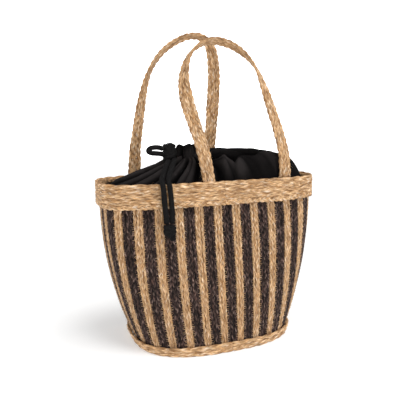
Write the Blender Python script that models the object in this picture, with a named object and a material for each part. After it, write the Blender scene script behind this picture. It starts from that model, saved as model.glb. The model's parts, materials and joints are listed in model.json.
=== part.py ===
"""Woven market basket: an oval tote of plaited jute with two handles and a drawstring cloth closure.

X runs along the basket, -Y is its front and +Z is up. It stands on the floor with its base centred on the
origin. Sizes are in metres.
"""

from functools import lru_cache
from math import cos, pi, radians, sin

import bmesh
import bpy
import numpy as np
from mathutils import Vector

# Driving dimensions of the wall: an oval base, and a longer and flatter mouth.
HEIGHT = 0.300
BASE_HALF_LENGTH = 0.146
BASE_HALF_DEPTH = 0.111
BASE_SQUARENESS = 2.7
MOUTH_HALF_LENGTH = 0.204
MOUTH_HALF_DEPTH = 0.070
MOUTH_SQUARENESS = 3.8
END_SWELL = 2.3
SIDE_LEAN = 1.2

# Plaits and stripes.
PLAIT_THICKNESS = 0.0050
GAP = 0.0003
STRIPE_PAIRS = 28
DARK_SHARE_AT_RIM = 0.54
DARK_SHARE_AT_BASE = 0.60
FIRST_DARK_SHIFT = 0.0046
CROSSING_HEIGHT = 0.0085
WALL_TOP = HEIGHT - 0.001
WALL_LEVELS = (0.030, 0.075, 0.125, 0.180, 0.235)

# Rows bound round the rim and the base.
ROW_HEIGHT = 0.0082
ROW_THICKNESS = 0.0057
ROW_CLEARANCE = 0.0006
RIM_ROWS = 5
BASE_ROWS = 2
BASE_COIL_THICKNESS = 0.0055

# Handles.
HANDLE_PLAITS = 3
HANDLE_PLAIT_WIDTH = 0.0072
HANDLE_PLAIT_THICKNESS = 0.0055
HANDLE_PLAIT_GAP = 0.0005
HANDLE_STATIONS = 36
HINGE_HEIGHT = HEIGHT + 0.0035
HANDLE_END_LENGTH = 0.060
HANDLE_END_TOP = HEIGHT + 0.0002
HANDLE_END_CLEARANCE = 0.0012

# Cloth lining and closure.
CLOTH_THICKNESS = 0.0015
LINING_OFFSET = 0.0075
LINING_TOP_OFFSET = 0.0130
LINING_TOP = 0.2865
CLOTH_SEGMENTS = 28
NECK_CENTRE = Vector((-0.047, -0.006, 0.0))
NECK_BOTTOM = 0.3300
NECK_RADIUS = 0.0165
SKIRT_TOP = 0.3340
SKIRT_FULL_RISE = 0.016
SKIRT_BRINK = 0.043
SKIRT_BRINK_STEEPNESS = 14.0
SKIRT_PUFF = 0.005
SKIRT_SLACK_STEEPNESS = 1.05
SKIRT_FULL_STEEPNESS = 1.9
SKIRT_CLIMBS = (0.0, 0.05, 0.12, 0.24, 0.40, 0.60, 0.80, 1.0)
NECK_RINGS = ((NECK_BOTTOM, 0.80), (0.3380, 1.0), (0.3460, 0.88), (0.3540, 0.98), (0.3612, 1.0))

# Drawstring.
CORD_DIAMETER = 0.0075

# Route of each handle's centre line in its own plane: along X, up the handle, and the strap's twist in degrees.
FRONT_HANDLE_ROUTE = (
    (-0.024, 0.000, 0), (-0.032, 0.050, 0), (-0.045, 0.095, 4), (-0.058, 0.140, 28), (-0.061, 0.180, 66),
    (-0.048, 0.217, 92), (-0.016, 0.240, 103), (0.020, 0.240, 100), (0.055, 0.223, 84), (0.080, 0.196, 58),
    (0.095, 0.160, 33), (0.107, 0.124, 20), (0.121, 0.080, 13), (0.130, 0.036, 5), (0.130, 0.000, 0),
)
BACK_HANDLE_ROUTE = (
    (-0.127, 0.000, 0), (-0.1268, 0.018, 0), (-0.1255, 0.050, -17), (-0.120, 0.092, -28),
    (-0.112, 0.145, -42), (-0.100, 0.188, -60), (-0.078, 0.223, -60), (-0.048, 0.246, -60),
    (-0.018, 0.257, -67), (0.006, 0.253, -70), (0.021, 0.236, -62),
    (0.0285, 0.200, -45), (0.030, 0.155, -25), (0.0285, 0.100, -5), (0.026, 0.045, 0), (0.026, 0.000, 0),
)
FRONT_HANDLE_LEAN = 8.0
BACK_HANDLE_LEAN = 5.0

# Routes of the drawstring's cords.
LOOP_ROUTE = (
    (-0.0915, -0.0135, 0.3550), (-0.1010, -0.0160, 0.3582), (-0.1110, -0.0175, 0.3586), (-0.1190, -0.0185, 0.3567),
    (-0.1215, -0.0195, 0.3528), (-0.1165, -0.0200, 0.3493), (-0.1050, -0.0190, 0.3480), (-0.0915, -0.0155, 0.3462),
)
TAIL_LEFT_ROUTE = (
    (-0.0845, -0.0220, 0.3360), (-0.0930, -0.0340, 0.3295), (-0.1030, -0.0500, 0.3170), (-0.1110, -0.0640, 0.3082),
    (-0.1145, -0.0745, 0.3042), (-0.1148, -0.0815, 0.2985), (-0.1145, -0.0838, 0.2890), (-0.1140, -0.0858, 0.2740),
    (-0.1130, -0.0878, 0.2560), (-0.1118, -0.0888, 0.2435), (-0.1110, -0.0891, 0.2355),
)
TAIL_RIGHT_ROUTE = (
    (-0.0745, -0.0240, 0.3385), (-0.0815, -0.0370, 0.3320), (-0.0930, -0.0530, 0.3185), (-0.1005, -0.0660, 0.3087),
    (-0.1032, -0.0755, 0.3045), (-0.1034, -0.0825, 0.2985), (-0.1030, -0.0846, 0.2890), (-0.1022, -0.0865, 0.2740),
    (-0.1018, -0.0885, 0.2560), (-0.1024, -0.0893, 0.2435), (-0.1028, -0.0896, 0.2355),
)
KNOT_CENTRE = Vector((-0.0795, -0.0130, 0.3485))
KNOT_RADII = (0.0115, 0.0095, 0.0165)
END_KNOT_CENTRE = Vector((-0.1065, -0.0905, 0.2235))
END_KNOT_RADII = (0.0110, 0.0080, 0.0115)


def clear_scene():
    """Remove every object that the file opened with."""
    for item in list(bpy.data.objects):
        bpy.data.objects.remove(item, do_unlink=True)


def make_material(name, colour, roughness):
    """A plain Principled material."""
    material = bpy.data.materials.new(name)
    material.use_nodes = True
    shader = material.node_tree.nodes["Principled BSDF"]
    shader.inputs["Base Color"].default_value = (*colour, 1.0)
    shader.inputs["Roughness"].default_value = roughness
    shader.inputs["Metallic"].default_value = 0.0
    material.diffuse_color = (*colour, 1.0)
    return material


# ---------------------------------------------------------------------------------------------- outline


def wall_shape(z):
    """Half length, half depth and squareness of the wall's outer outline at height z."""
    rise = z / HEIGHT
    swell = 1.0 - max(1.0 - rise, 0.0) ** END_SWELL
    half_length = BASE_HALF_LENGTH + (MOUTH_HALF_LENGTH - BASE_HALF_LENGTH) * swell
    half_depth = BASE_HALF_DEPTH + (MOUTH_HALF_DEPTH - BASE_HALF_DEPTH) * rise ** SIDE_LEAN
    squareness = BASE_SQUARENESS + (MOUTH_SQUARENESS - BASE_SQUARENESS) * rise
    return half_length, half_depth, squareness


@lru_cache(maxsize=None)
def outline_table(z):
    """Dense points of the outline at height z and how far along each one is, from the front's centre."""
    half_length, half_depth, squareness = wall_shape(z)
    turn = np.linspace(-0.5 * pi, 1.5 * pi, 2881)
    c, s = np.cos(turn), np.sin(turn)
    x = half_length * np.sign(c) * np.abs(c) ** (2.0 / squareness)
    y = half_depth * np.sign(s) * np.abs(s) ** (2.0 / squareness)
    along = np.concatenate(([0.0], np.cumsum(np.hypot(np.diff(x), np.diff(y)))))
    return x, y, along


def perimeter(z):
    """Length of the wall's outline at height z."""
    return outline_table(z)[2][-1]


def outline_point(share, z, offset):
    """Point at a share of the way round, at height z, moved outwards by offset."""
    x, y, along = outline_table(z)
    total = along[-1]

    def at(part):
        distance = (part % 1.0) * total
        return np.array((np.interp(distance, along, x), np.interp(distance, along, y)))

    step = 0.0015 / total
    forward = at(share + step) - at(share - step)
    outward = np.array((forward[1], -forward[0])) / np.hypot(*forward)
    spot = at(share) + outward * offset
    return Vector((spot[0], spot[1], z))


def front_depth(x, z):
    """How far the wall's outer face is from the middle plane, at length x and height z."""
    half_length, half_depth, squareness = wall_shape(z)
    return half_depth * (1.0 - abs(x / half_length) ** squareness) ** (1.0 / squareness)


def dark_edges(index, z):
    """Shares where dark stripe number index starts and ends, at height z."""
    rise = z / HEIGHT
    width = (DARK_SHARE_AT_BASE + (DARK_SHARE_AT_RIM - DARK_SHARE_AT_BASE) * rise) / STRIPE_PAIRS
    centre = FIRST_DARK_SHIFT + index / STRIPE_PAIRS
    return centre - 0.5 * width, centre + 0.5 * width


def natural_edges(index, z):
    """Shares where the natural stripe that follows dark stripe number index starts and ends."""
    return dark_edges(index, z)[1], dark_edges(index + 1, z)[0]


def stripe_boundaries(z):
    """Every stripe's starting share, once round the wall."""
    return [edge for index in range(STRIPE_PAIRS) for edge in dark_edges(index, z)]


# ---------------------------------------------------------------------------------------- mesh builders


def add_mesh_object(name, points, faces, material, parent=None):
    """An object from points and faces, with every face turned outwards."""
    mesh = bpy.data.meshes.new(name)
    origin = parent.location if parent else Vector((0.0, 0.0, 0.0))
    mesh.from_pydata([Vector(point) - origin for point in points], [], faces)
    shaped = bmesh.new()
    shaped.from_mesh(mesh)
    bmesh.ops.recalc_face_normals(shaped, faces=shaped.faces)
    shaped.to_mesh(mesh)
    shaped.free()
    mesh.materials.append(material)
    item = bpy.data.objects.new(name, mesh)
    bpy.context.collection.objects.link(item)
    item.parent = parent
    return item


def loft(name, rings, material, parent=None, looped=False, twisted=False):
    """Join rings of points side by side into one closed body, capped or closed into a loop.

    A twisted body is cut into triangles whose diagonals run alike on opposite sides, so that twisted
    neighbours keep their gap.
    """
    size = len(rings[0])
    points = [point for ring in rings for point in ring]
    faces = []
    for first in range(len(rings) if looped else len(rings) - 1):
        second = (first + 1) % len(rings)
        for i in range(size):
            j = (i + 1) % size
            quad = (first * size + i, first * size + j, second * size + j, second * size + i)
            if not twisted:
                faces.append(quad)
            elif i < size // 2:
                faces += [(quad[0], quad[1], quad[2]), (quad[0], quad[2], quad[3])]
            else:
                faces += [(quad[0], quad[1], quad[3]), (quad[1], quad[2], quad[3])]
    if not looped:
        faces.append(tuple(range(size)))
        faces.append(tuple(range((len(rings) - 1) * size, len(rings) * size)))
    return add_mesh_object(name, points, faces, material, parent)


def cell_solid(name, corners, cells, material):
    """A slab made of cells of a grid: corners[row][column] holds the outer and the inner point.

    Its edge faces are cut into triangles whose diagonals all run alike, so that neighbours keep their gap.
    """
    columns = len(corners[0])
    points = [point for row in corners for pair in row for point in pair]

    def vertex(row, column, side):
        return 2 * (row * columns + column) + side

    faces = []
    for row, column in cells:
        quad = ((row, column), (row, column + 1), (row + 1, column + 1), (row + 1, column))
        neighbours = ((row - 1, column), (row, column + 1), (row + 1, column), (row, column - 1))
        faces.append(tuple(vertex(*corner, 0) for corner in quad))
        faces.append(tuple(vertex(*corner, 1) for corner in reversed(quad)))
        for edge, neighbour in enumerate(neighbours):
            if neighbour not in cells:
                low, high = sorted((quad[edge], quad[(edge + 1) % 4]))
                faces.append((vertex(*low, 0), vertex(*low, 1), vertex(*high, 1)))
                faces.append((vertex(*low, 0), vertex(*high, 1), vertex(*high, 0)))
    item = add_mesh_object(name, points, faces, material)
    shaped = bmesh.new()
    shaped.from_mesh(item.data)
    bmesh.ops.delete(shaped, geom=[vert for vert in shaped.verts if not vert.link_faces], context="VERTS")
    shaped.to_mesh(item.data)
    shaped.free()
    return item


def smooth_curve(route, stations):
    """Points spread evenly along a smooth curve through the route's points."""
    knots = np.array(route, dtype=float)
    padded = np.vstack((2 * knots[0] - knots[1], knots, 2 * knots[-1] - knots[-2]))
    dense = []
    for i in range(len(knots) - 1):
        a, b, c, d = padded[i:i + 4]
        for t in np.linspace(0.0, 1.0, 24, endpoint=False):
            dense.append(0.5 * (2 * b + (c - a) * t + (2 * a - 5 * b + 4 * c - d) * t ** 2
                                + (3 * b - a - 3 * c + d) * t ** 3))
    dense.append(knots[-1])
    dense = np.array(dense)
    steps = np.linalg.norm(np.diff(dense, axis=0), axis=1)
    along = np.concatenate(([0.0], np.cumsum(steps)))
    targets = np.linspace(0.0, along[-1], stations)
    return np.stack([np.interp(targets, along, dense[:, k]) for k in range(dense.shape[1])], axis=1)


# ----------------------------------------------------------------------------------------------- basket


def make_base_coil(material):
    """The oval coil that is the basket's floor."""
    inside = -(PLAIT_THICKNESS + GAP)
    rings = []
    for z in (0.0, BASE_COIL_THICKNESS):
        rings.append([outline_point(share, z, inside) for share in stripe_boundaries(z)])
    loft("base_coil", rings, material)


def make_row(name, bottom, material):
    """One plaited row bound round the outside of the wall."""
    low, high = bottom + 0.5 * GAP, bottom + ROW_HEIGHT - 0.5 * GAP
    rings = []
    near, far = ROW_CLEARANCE, ROW_CLEARANCE + ROW_THICKNESS
    for z, offset in ((low, near), (low, far), (high, far), (high, near)):
        rings.append([outline_point(share, z, offset) for share in stripe_boundaries(z)])
    loft(name, rings, material, looped=True)


def make_wall_pair(name, edges_of, index, crossing_on_top, material):
    """Two stripes of one plait, joined by the crossing that hides behind the rim or the base rows."""
    low_leg = 0.0 if not crossing_on_top else CROSSING_HEIGHT + GAP
    top_leg = WALL_TOP if crossing_on_top else WALL_TOP - CROSSING_HEIGHT - GAP
    levels = [low_leg, *WALL_LEVELS, top_leg]
    if crossing_on_top:
        levels.insert(-1, WALL_TOP - CROSSING_HEIGHT)
    else:
        levels.insert(1, CROSSING_HEIGHT)
    corners = []
    for z in levels:
        trim = 0.5 * GAP / perimeter(z)
        first, second = edges_of(index, z), edges_of(index + 1, z)
        shares = (first[0] + trim, first[1] - trim, second[0] + trim, second[1] - trim)
        corners.append([(outline_point(share, z, 0.0), outline_point(share, z, -PLAIT_THICKNESS))
                        for share in shares])
    last = len(levels) - 2
    cells = {(row, column) for row in range(last + 1) for column in (0, 2)}
    cells.add((last if crossing_on_top else 0, 1))
    cell_solid(name, corners, cells, material)


def make_handle_end(name, side, x, material):
    """The end of a handle, sewn flat to the inside of the wall. side is -1 in front and 1 at the back."""
    half_width = 0.5 * (HANDLE_PLAITS * HANDLE_PLAIT_WIDTH + (HANDLE_PLAITS - 1) * GAP)
    outer = PLAIT_THICKNESS + HANDLE_END_CLEARANCE
    rings = []
    for z in (HANDLE_END_TOP - HANDLE_END_LENGTH, HEIGHT - 0.03, HANDLE_END_TOP):
        left, right = x - half_width, x + half_width
        left_depth = front_depth(left, z) - outer
        right_depth = front_depth(right, z) - outer
        rings.append([(left, side * left_depth, z), (right, side * right_depth, z),
                      (right, side * (right_depth - HANDLE_PLAIT_THICKNESS), z),
                      (left, side * (left_depth - HANDLE_PLAIT_THICKNESS), z)])
    loft(name, rings, material)


def hinge_y(side):
    """Y of a handle's fold line: the middle of its sewn-down ends."""
    return side * (MOUTH_HALF_DEPTH - PLAIT_THICKNESS - HANDLE_END_CLEARANCE - 0.5 * HANDLE_PLAIT_THICKNESS)


def make_handle(name, side, route, lean, material):
    """One handle: its plaits lie side by side along the route and follow its twist."""
    hinge = bpy.data.objects.new(name + "_hinge", None)
    bpy.context.collection.objects.link(hinge)
    middle = 0.5 * (route[0][0] + route[-1][0])
    hinge.location = (middle, hinge_y(side), HINGE_HEIGHT)
    tilt = radians(lean)
    up = Vector((0.0, -side * sin(tilt), cos(tilt)))
    across = Vector((0.0, -side * cos(tilt), -sin(tilt)))
    stations = smooth_curve([(x, h, 0.01 * radians(twist)) for x, h, twist in route], HANDLE_STATIONS)
    steps = np.gradient(stations[:, :2], axis=0)
    pitch = HANDLE_PLAIT_WIDTH + HANDLE_PLAIT_GAP
    for plait in range(HANDLE_PLAITS):
        shift = (plait - 0.5 * (HANDLE_PLAITS - 1)) * pitch
        rings = []
        for (x, h, scaled_twist), step in zip(stations, steps):
            twist = 100.0 * scaled_twist
            forward = (Vector((1.0, 0.0, 0.0)) * step[0] + up * step[1]).normalized()
            sideways = Vector((-1.0, 0.0, 0.0)) * step[1] + up * step[0]
            sideways.normalize()
            broad = sideways * cos(twist) - side * across * sin(twist)
            thin = forward.cross(broad)
            middle_point = Vector((x, hinge_y(side), HINGE_HEIGHT)) + up * h + broad * shift
            reach, depth = broad * 0.5 * HANDLE_PLAIT_WIDTH, thin * 0.5 * HANDLE_PLAIT_THICKNESS
            rings.append([middle_point + reach + depth, middle_point - reach + depth,
                          middle_point - reach - depth, middle_point + reach - depth])
        loft(f"{name}_plait_{plait + 1}", rings, material, parent=hinge, twisted=True)


# ------------------------------------------------------------------------------------ cloth and drawstring


def make_lining(material):
    """The cloth bag inside the wall."""
    shares = [index / CLOTH_SEGMENTS for index in range(CLOTH_SEGMENTS)]
    floor = BASE_COIL_THICKNESS + GAP
    levels = ((floor, LINING_OFFSET), (0.050, LINING_OFFSET), (0.110, LINING_OFFSET), (0.180, LINING_OFFSET),
              (0.236, LINING_TOP_OFFSET), (LINING_TOP, LINING_TOP_OFFSET))
    outer = [[outline_point(share, z, -offset) for share in shares] for z, offset in levels]
    inner_levels = [(floor + CLOTH_THICKNESS, LINING_OFFSET), *levels[1:]]
    inner = [[outline_point(share, z, -offset - CLOTH_THICKNESS) for share in shares]
             for z, offset in inner_levels]
    loft("lining_bag", outer + inner[::-1], material)


def closure_point(share, climb):
    """Point of the closure's cloth: climb runs from 0 at the rim to 1 at the neck."""
    z_low = LINING_TOP + GAP
    rim = outline_point(share, z_low, -LINING_TOP_OFFSET)
    turn = 2.0 * pi * share - 0.5 * pi
    neck = NECK_CENTRE + Vector((cos(turn), sin(turn), 0.0)) * (NECK_RADIUS + GAP + CLOTH_THICKNESS)
    fullness = (rim.x + MOUTH_HALF_LENGTH) / (2.0 * MOUTH_HALF_LENGTH)
    swelling = max(0.0, min(1.0, (fullness - 0.30) / 0.65)) ** 1.5
    brink = SKIRT_BRINK * swelling
    rise = SKIRT_TOP + SKIRT_FULL_RISE * swelling - z_low - brink
    power = SKIRT_SLACK_STEEPNESS + SKIRT_FULL_STEEPNESS * fullness
    height = z_low + brink * (1.0 - (1.0 - climb) ** SKIRT_BRINK_STEEPNESS)
    height += rise * (1.0 - (1.0 - climb) ** power) + SKIRT_PUFF * fullness * sin(pi * climb)
    spot = rim.lerp(neck, climb)
    return Vector((spot.x, spot.y, height))


def make_closure(material, thread_material):
    """The cloth that rises from the rim to the gathered neck."""
    slide = bpy.data.objects.new("closure_slide", None)
    bpy.context.collection.objects.link(slide)
    slide.location = (NECK_CENTRE.x, NECK_CENTRE.y, NECK_BOTTOM)
    shares = [index / CLOTH_SEGMENTS for index in range(CLOTH_SEGMENTS)]
    upper = [[closure_point(share, climb) for share in shares] for climb in SKIRT_CLIMBS]
    lower = []
    for climb, ring in zip(SKIRT_CLIMBS, upper):
        drop = Vector((0.0, 0.0, -CLOTH_THICKNESS if climb else 0.0))
        under = []
        for point in ring:
            inward = (NECK_CENTRE - point) * Vector((1.0, 1.0, 0.0))
            under.append(point + inward.normalized() * CLOTH_THICKNESS * (1.0 - climb) + drop)
        lower.append(under)
    loft("closure_skirt", upper + lower[::-1], material, parent=slide, looped=True)
    rings = []
    for z, scale in NECK_RINGS:
        rings.append([NECK_CENTRE + Vector((cos(turn) * NECK_RADIUS * scale, sin(turn) * NECK_RADIUS * scale, z))
                      for turn in np.linspace(0.0, 2.0 * pi, 16, endpoint=False)])
    loft("closure_neck", rings, material, parent=slide)
    make_knot("drawstring_knot", KNOT_CENTRE, KNOT_RADII, thread_material, slide)
    make_knot("drawstring_end_knot", END_KNOT_CENTRE, END_KNOT_RADII, thread_material, slide)
    make_cord("drawstring_loop", LOOP_ROUTE, 22, thread_material, slide)
    make_cord("drawstring_tail_left", TAIL_LEFT_ROUTE, 16, thread_material, slide)
    make_cord("drawstring_tail_right", TAIL_RIGHT_ROUTE, 16, thread_material, slide)


def make_knot(name, centre, radii, material, parent):
    """A knot's plain outer shape."""
    shaped = bmesh.new()
    bmesh.ops.create_icosphere(shaped, subdivisions=2, radius=1.0)
    mesh = bpy.data.meshes.new(name)
    for vert in shaped.verts:
        vert.co = Vector(vert.co[axis] * radii[axis] + centre[axis] - parent.location[axis] for axis in range(3))
    shaped.to_mesh(mesh)
    shaped.free()
    mesh.materials.append(material)
    mesh.shade_smooth()
    item = bpy.data.objects.new(name, mesh)
    bpy.context.collection.objects.link(item)
    item.parent = parent
    return item


def make_cord(name, route, stations, material, parent):
    """A cord along a smooth curve through its route."""
    curve = bpy.data.curves.new(name, "CURVE")
    curve.dimensions = "3D"
    curve.bevel_depth = 0.5 * CORD_DIAMETER
    curve.bevel_resolution = 2
    curve.use_fill_caps = True
    points = smooth_curve(route, stations)
    spline = curve.splines.new("POLY")
    spline.points.add(len(points) - 1)
    for spot, point in zip(spline.points, points):
        spot.co = (*(Vector(point) - parent.location), 1.0)
    curve.materials.append(material)
    item = bpy.data.objects.new(name, curve)
    bpy.context.collection.objects.link(item)
    item.parent = parent
    return item


def main():
    clear_scene()
    natural = make_material("natural_jute", (0.56, 0.36, 0.19), 0.85)
    dark = make_material("dark_jute", (0.045, 0.035, 0.032), 0.85)
    cloth = make_material("black_cotton", (0.012, 0.011, 0.011), 0.9)
    cord = make_material("black_cord", (0.015, 0.014, 0.014), 0.85)

    make_base_coil(natural)
    for row in range(BASE_ROWS):
        make_row(f"base_row_{row + 1}", row * ROW_HEIGHT, natural)
    for row in range(RIM_ROWS):
        make_row(f"rim_row_{row + 1}", HEIGHT - (RIM_ROWS - row) * ROW_HEIGHT, natural)
    for pair in range(STRIPE_PAIRS // 2):
        make_wall_pair(f"wall_dark_{pair + 1:02d}", dark_edges, 2 * pair, False, dark)
        make_wall_pair(f"wall_natural_{pair + 1:02d}", natural_edges, 2 * pair, True, natural)

    for name, side, route, lean in (("front_handle", -1.0, FRONT_HANDLE_ROUTE, FRONT_HANDLE_LEAN),
                                    ("back_handle", 1.0, BACK_HANDLE_ROUTE, BACK_HANDLE_LEAN)):
        make_handle_end(name + "_end_left", side, route[0][0], natural)
        make_handle_end(name + "_end_right", side, route[-1][0], natural)
        make_handle(name, side, route, lean, natural)

    make_lining(cloth)
    make_closure(cloth, cord)


main()
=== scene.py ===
"""Woven market basket: plaited jute, handles, cotton closure and drawstring, built on the CAD frame."""

import json
from math import cos, pi, radians, sin

import bpy
import numpy as np
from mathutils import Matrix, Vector


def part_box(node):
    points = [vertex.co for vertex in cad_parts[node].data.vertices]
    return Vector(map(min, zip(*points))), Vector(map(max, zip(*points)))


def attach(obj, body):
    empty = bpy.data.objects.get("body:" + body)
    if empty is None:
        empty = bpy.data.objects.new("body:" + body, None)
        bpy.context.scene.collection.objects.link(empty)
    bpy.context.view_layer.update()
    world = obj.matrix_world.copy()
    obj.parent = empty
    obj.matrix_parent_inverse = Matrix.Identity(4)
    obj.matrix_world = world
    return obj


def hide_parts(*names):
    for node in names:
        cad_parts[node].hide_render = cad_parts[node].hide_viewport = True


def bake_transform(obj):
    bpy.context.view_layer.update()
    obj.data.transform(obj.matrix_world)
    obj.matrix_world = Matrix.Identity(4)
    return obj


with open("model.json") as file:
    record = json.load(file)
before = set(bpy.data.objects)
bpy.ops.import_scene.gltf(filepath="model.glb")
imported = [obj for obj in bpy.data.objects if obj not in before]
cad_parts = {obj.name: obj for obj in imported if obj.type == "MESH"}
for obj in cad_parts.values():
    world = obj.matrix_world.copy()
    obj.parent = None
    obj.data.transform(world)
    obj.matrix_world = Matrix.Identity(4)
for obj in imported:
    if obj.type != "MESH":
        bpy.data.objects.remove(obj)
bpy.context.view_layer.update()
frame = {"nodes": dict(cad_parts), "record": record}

# ---------------- sizes, as in part.py

PLAIT_THICKNESS = 0.0050
ROW_THICKNESS = 0.0057
ROW_CLEARANCE = 0.0006
HANDLE_END_CLEARANCE = 0.0012
HANDLE_PLAIT_THICKNESS = 0.0055
HANDLE_PLAIT_PITCH = 0.0077
ROW_HEIGHT = 0.0082
RIM_ROWS = 5
BASE_ROWS = 2
STRIPE_PAIRS = 28
DARK_SHARE_AT_RIM = 0.54
DARK_SHARE_AT_BASE = 0.60
FIRST_DARK_SHIFT = 0.0046
END_SWELL = 2.3
SIDE_LEAN = 1.2
BASE_SQUARENESS = 2.7
MOUTH_SQUARENESS = 3.8
GAP = 0.0003
CLOTH_THICKNESS = 0.0015
COIL_TOP_FLARE = 0.0021  # the coil's top edge reaches this much further than the wall's foot does

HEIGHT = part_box("rim_row_5")[1][2] + 0.5 * GAP
MOUTH_HALF_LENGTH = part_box("rim_row_5")[1][0] - ROW_THICKNESS - ROW_CLEARANCE
MOUTH_HALF_DEPTH = 0.070
BASE_HALF_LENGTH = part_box("base_coil")[1][0] + PLAIT_THICKNESS + GAP - COIL_TOP_FLARE
BASE_HALF_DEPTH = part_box("base_coil")[1][1] + PLAIT_THICKNESS + GAP
JOINTS = {joint["name"]: joint for joint in frame["record"]["behaviour"]["joints"]}
HINGE_HEIGHT = JOINTS["front_handle_fold"]["pos_m"][2]
HINGE_DEPTH = JOINTS["back_handle_fold"]["pos_m"][1]
RANDOM = np.random.default_rng(71)

# ---------------- camera

CAMERA_TURN = radians(-21.56)
CAMERA_RISE = radians(9.8)
CAMERA_PLACE = Vector((-0.3617, -0.8730, 0.4184))
LENS = 45.29


def make_camera():
    camera = bpy.data.cameras.new("camera")
    camera.lens = LENS
    camera.sensor_width = 36.0
    camera.clip_start = 0.01
    holder = bpy.data.objects.new("camera", camera)
    bpy.context.collection.objects.link(holder)
    level = cos(CAMERA_RISE)
    towards = Vector((-sin(CAMERA_TURN) * level, cos(CAMERA_TURN) * level, -sin(CAMERA_RISE)))
    holder.location = CAMERA_PLACE
    holder.rotation_euler = towards.to_track_quat("-Z", "Y").to_euler()
    bpy.context.scene.camera = holder


make_camera()

# ---------------- materials


class Nodes:
    """Short helpers for building one material."""

    def __init__(self, name):
        self.material = bpy.data.materials.new(name)
        self.material.use_nodes = True
        self.tree = self.material.node_tree
        self.shader = self.tree.nodes["Principled BSDF"]

    def add(self, kind, **values):
        """A new node with some of its sockets or properties set."""
        node = self.tree.nodes.new(kind)
        for key, value in values.items():
            if hasattr(node, key) and key not in node.inputs:
                setattr(node, key, value)
            else:
                node.inputs[key].default_value = value
        return node

    def surface(self, **values):
        """Set the shader's plain values: an underscore stands for a space in a socket's name."""
        for key, value in values.items():
            self.shader.inputs[key.replace("_", " ")].default_value = value

    def link(self, output, target):
        self.tree.links.new(output, target)

    def scaled_uv(self, across, along):
        uv = self.add("ShaderNodeUVMap", uv_map="strand")
        mapping = self.add("ShaderNodeMapping", Scale=(across, along, 1.0))
        self.link(uv.outputs["UV"], mapping.inputs["Vector"])
        return mapping.outputs["Vector"]

    def noise(self, vector, scale, detail=3.0, roughness=0.55):
        node = self.add("ShaderNodeTexNoise", Scale=scale, Detail=detail, Roughness=roughness)
        self.link(vector, node.inputs["Vector"])
        return node.outputs["Fac"]

    def ramp(self, value, stops):
        node = self.tree.nodes.new("ShaderNodeValToRGB")
        elements = node.color_ramp.elements
        while len(elements) < len(stops):
            elements.new(0.5)
        for element, (place, colour) in zip(elements, stops):
            element.position = place
            element.color = (*colour, 1.0)
        self.link(value, node.inputs["Fac"])
        return node.outputs["Color"]

    def mix(self, kind, factor, first, second):
        node = self.tree.nodes.new("ShaderNodeMix")
        node.data_type = "RGBA"
        node.blend_type = kind
        for socket, value in ((node.inputs[0], factor), (node.inputs[6], first), (node.inputs[7], second)):
            if isinstance(value, (int, float)):
                socket.default_value = value
            elif isinstance(value, tuple):
                socket.default_value = (*value, 1.0)
            else:
                self.link(value, socket)
        return node.outputs[2]

    def bump(self, height, strength, distance, below=None):
        node = self.add("ShaderNodeBump", Strength=strength, Distance=distance)
        self.link(height, node.inputs["Height"])
        if below:
            self.link(below, node.inputs["Normal"])
        return node.outputs["Normal"]


def jute_material(name, fibre_stops, tint_stops, worn_stops, painted_crest_highlight, crevice_painted_shade, sheen, sheen_tint, run):
    """Coarse fibre: streaks and worn patches along each strand, painted highlights on its crests, painted
    shade between strands.

    fibre_stops, tint_stops, worn_stops and crevice are colour ramps; run is how short the marks are.
    """
    nodes = Nodes(name)
    fine = nodes.noise(nodes.scaled_uv(9.0, 0.075 * run), 1.0, 4.0, 0.65)
    streak = nodes.noise(nodes.scaled_uv(4.0, 0.045 * run), 1.0, 2.0, 0.5)
    patch = nodes.noise(nodes.scaled_uv(0.35, 0.05), 1.0, 2.0, 0.5)
    dashes = nodes.noise(nodes.scaled_uv(3.0, 0.075 * run), 1.0, 2.0, 0.6)
    blotch = nodes.noise(nodes.scaled_uv(1.5, 0.055 * run), 1.0, 1.0, 0.5)
    shade = nodes.add("ShaderNodeAttribute", attribute_name="shade")
    fibres = nodes.ramp(fine, fibre_stops)
    tint = nodes.ramp(patch, tint_stops)
    coloured = nodes.mix("MULTIPLY", 1.0, fibres, tint)
    lines = nodes.ramp(streak, ((0.38, (0.42, 0.36, 0.31)), (0.54, (1.0, 1.0, 1.0))))
    lined = nodes.mix("MULTIPLY", 0.8, coloured, lines)
    # Painted highlight: pale dashes on the strands' crests, where the shade attribute is high.
    top = nodes.ramp(shade.outputs["Fac"], ((0.60, (0.0, 0.0, 0.0)), (0.98, (1.0, 1.0, 1.0))))
    painted_highlight_dashes = nodes.ramp(dashes, ((0.51, (0.0, 0.0, 0.0)), (0.68, (0.50, 0.50, 0.50))))
    with_painted_highlight = nodes.mix("MIX", nodes.mix("MULTIPLY", 1.0, top, painted_highlight_dashes), lined, painted_crest_highlight)
    worn = nodes.ramp(blotch, worn_stops)
    patched = nodes.mix("MULTIPLY", 1.0, with_painted_highlight, worn)
    # Painted shade: the strands' edges and the hollows between them are darkened by the shade attribute.
    depth = nodes.ramp(shade.outputs["Fac"], crevice_painted_shade)
    nodes.link(nodes.mix("MULTIPLY", 1.0, patched, depth), nodes.shader.inputs["Base Color"])
    nodes.surface(Roughness=0.78, Specular_IOR_Level=0.18, Sheen_Weight=sheen, Sheen_Roughness=0.55,
                  Sheen_Tint=(*sheen_tint, 1.0))
    coarse = nodes.bump(streak, 0.7, 0.0005)
    nodes.link(nodes.bump(fine, 0.8, 0.00028, coarse), nodes.shader.inputs["Normal"])
    return nodes.material


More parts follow.
